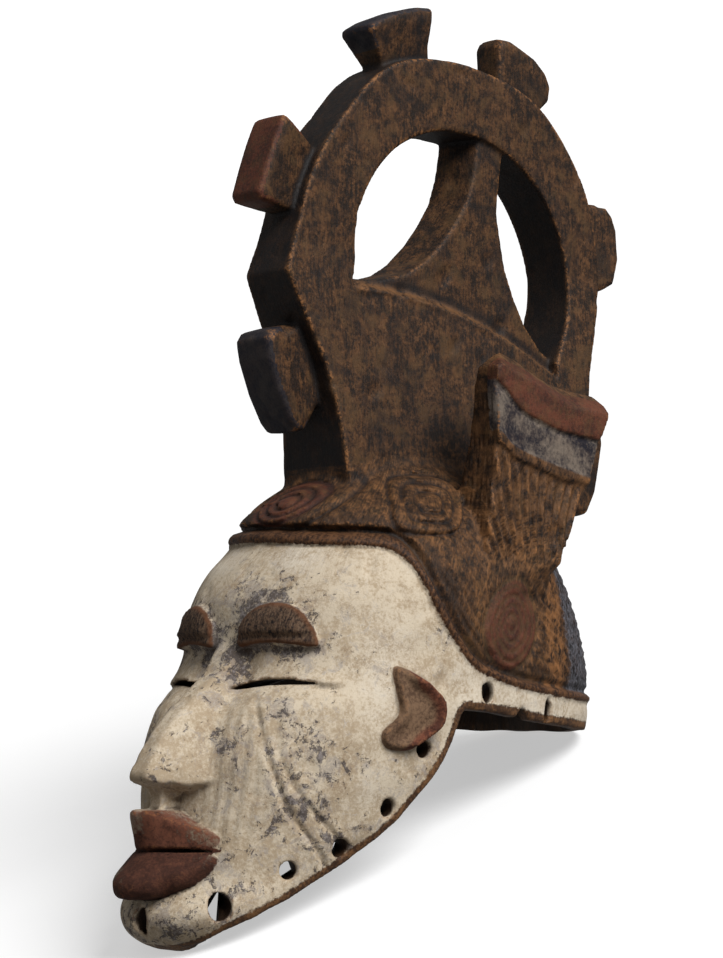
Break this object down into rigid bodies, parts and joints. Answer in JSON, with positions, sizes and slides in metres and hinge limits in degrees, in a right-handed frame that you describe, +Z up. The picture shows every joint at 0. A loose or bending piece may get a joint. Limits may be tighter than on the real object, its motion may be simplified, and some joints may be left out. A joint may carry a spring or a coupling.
{
  "type": "igbo helmet mask",
  "caption": "Carved wooden helmet mask with a white face, a pierced wheel crest with flared knobs and two side horns.",
  "frame": {"origin": "centre of the bounding box at the level the mask rests on", "axes": "+X to the mask's own left, +Y to the back, +Z up; the face looks towards -Y"},
  "size_m": [0.1782, 0.4418, 0.3905],
  "materials": {
    "carved_wood": "hand-carved softwood, dark stain with worn orange edges, chipped white kaolin face, red-brown and blue-black paint"
  },
  "bodies": {
    "root": {"mask": "carved_wood"}
  },
  "joints": []
}
